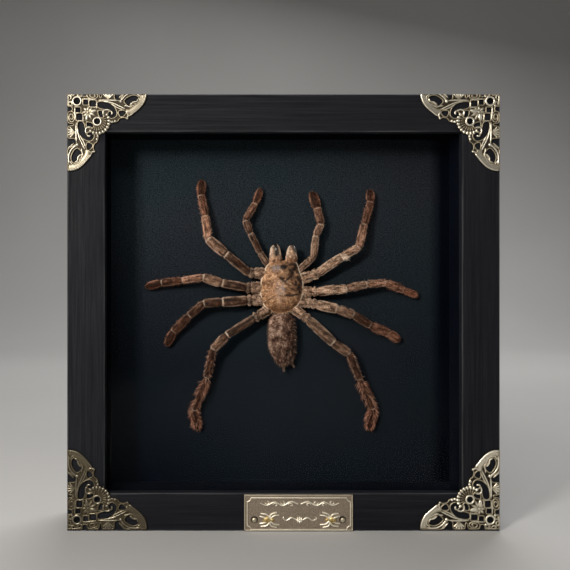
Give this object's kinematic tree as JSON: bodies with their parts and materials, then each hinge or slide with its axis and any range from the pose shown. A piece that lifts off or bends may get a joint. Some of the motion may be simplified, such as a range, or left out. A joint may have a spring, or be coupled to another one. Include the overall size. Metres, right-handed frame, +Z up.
{
  "type": "framed tarantula specimen",
  "caption": "Black wooden shadow-box frame with openwork bronze corners and a nameplate, holding a dried tarantula spread flat on a dark board behind glass.",
  "frame": {"origin": "bottom centre of the bounding box, on the surface that the frame stands on", "axes": "+Z up the frame, +X to the right of someone looking at the specimen, +Y into the frame, so the glazed front faces -Y"},
  "size_m": [0.22, 0.0492, 0.222],
  "materials": {
    "black_wood": "matte black paint over fine-grained wood",
    "glass": "clear, polished",
    "liner_black": "matte black foam board",
    "board_charcoal": "matte charcoal board with a fine grain",
    "panel_brown": "bare fibreboard",
    "steel": "zinc plated",
    "bronze": "antiqued: bright raised parts and dark hollows",
    "carapace": "dry chitin, golden brown, with short hair",
    "leg": "dry chitin, pinkish to reddish brown, hairy",
    "abdomen": "dull dark brown fur"
  },
  "bodies": {
    "root": {"rail_bottom": "black_wood", "rail_top": "black_wood", "rail_left": "black_wood", "rail_right": "black_wood", "glass_pane": "glass", "liner_top": "liner_black", "liner_bottom": "liner_black", "liner_left": "liner_black", "liner_right": "liner_black", "mounting_board": "board_charcoal", "back_panel": "panel_brown", "framers_point_bottom_1": "steel", "framers_point_bottom_2": "steel", "framers_point_top_1": "steel", "framers_point_top_2": "steel", "framers_point_left_1": "steel", "framers_point_left_2": "steel", "framers_point_right_1": "steel", "framers_point_right_2": "steel", "sawtooth_hanger": "steel", "hanger_nail_left": "steel", "hanger_nail_right": "steel", "corner_bottom_left": "bronze", "corner_bottom_right": "bronze", "corner_top_left": "bronze", "corner_top_right": "bronze", "nameplate": "bronze", "nameplate_pin_left": "bronze", "nameplate_pin_right": "bronze", "cephalothorax": "carapace", "abdomen": "abdomen", "chelicera_left": "carapace", "chelicera_right": "carapace", "pedipalp_left": "leg", "pedipalp_right": "leg", "leg_1_left": "leg", "leg_2_left": "leg", "leg_3_left": "leg", "leg_4_left": "leg", "leg_1_right": "leg", "leg_2_right": "leg", "leg_3_right": "leg", "leg_4_right": "leg"}
  },
  "joints": []
}
